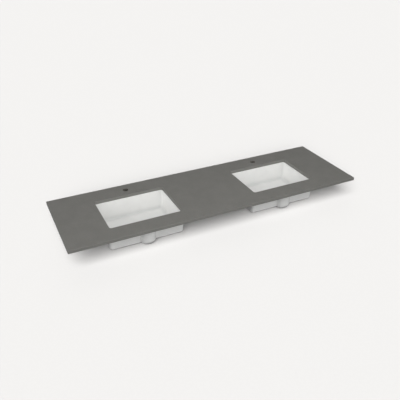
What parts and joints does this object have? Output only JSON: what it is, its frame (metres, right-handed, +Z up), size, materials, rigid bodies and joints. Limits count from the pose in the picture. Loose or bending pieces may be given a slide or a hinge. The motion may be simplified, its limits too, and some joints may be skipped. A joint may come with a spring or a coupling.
{
  "type": "vanity sink top",
  "caption": "Long flat stone vanity top with rectangular undermount china basins, each clipped below its own cut-out, with a front overflow channel, a drain boss and a tap hole behind.",
  "frame": {"origin": "centre of the slab's flat underside, the plane that lies on a cabinet", "axes": "+X along the length to the right, +Y to the wall behind, +Z up"},
  "size_m": [1.8542, 0.5588, 0.1646],
  "materials": {
    "stone": "honed mid-grey engineered stone, fine even grain",
    "china": "glossy white vitreous china glaze",
    "silicone": "translucent pale silicone sealant",
    "brass": "turned brass",
    "steel": "bright zinc-plated steel"
  },
  "bodies": {
    "root": {"stone_slab": "stone", "left_basin": "china", "left_silicone_bead": "silicone", "threaded_insert_left_1": "brass", "stud_left_1": "steel", "clip_left_1": "steel", "washer_left_1": "steel", "wing_nut_left_1": "steel", "threaded_insert_left_2": "brass", "stud_left_2": "steel", "clip_left_2": "steel", "washer_left_2": "steel", "wing_nut_left_2": "steel", "threaded_insert_left_3": "brass", "stud_left_3": "steel", "clip_left_3": "steel", "washer_left_3": "steel", "wing_nut_left_3": "steel", "threaded_insert_left_4": "brass", "stud_left_4": "steel", "clip_left_4": "steel", "washer_left_4": "steel", "wing_nut_left_4": "steel", "right_basin": "china", "right_silicone_bead": "silicone", "threaded_insert_right_1": "brass", "stud_right_1": "steel", "clip_right_1": "steel", "washer_right_1": "steel", "wing_nut_right_1": "steel", "threaded_insert_right_2": "brass", "stud_right_2": "steel", "clip_right_2": "steel", "washer_right_2": "steel", "wing_nut_right_2": "steel", "threaded_insert_right_3": "brass", "stud_right_3": "steel", "clip_right_3": "steel", "washer_right_3": "steel", "wing_nut_right_3": "steel", "threaded_insert_right_4": "brass", "stud_right_4": "steel", "clip_right_4": "steel", "washer_right_4": "steel", "wing_nut_right_4": "steel"}
  },
  "joints": []
}
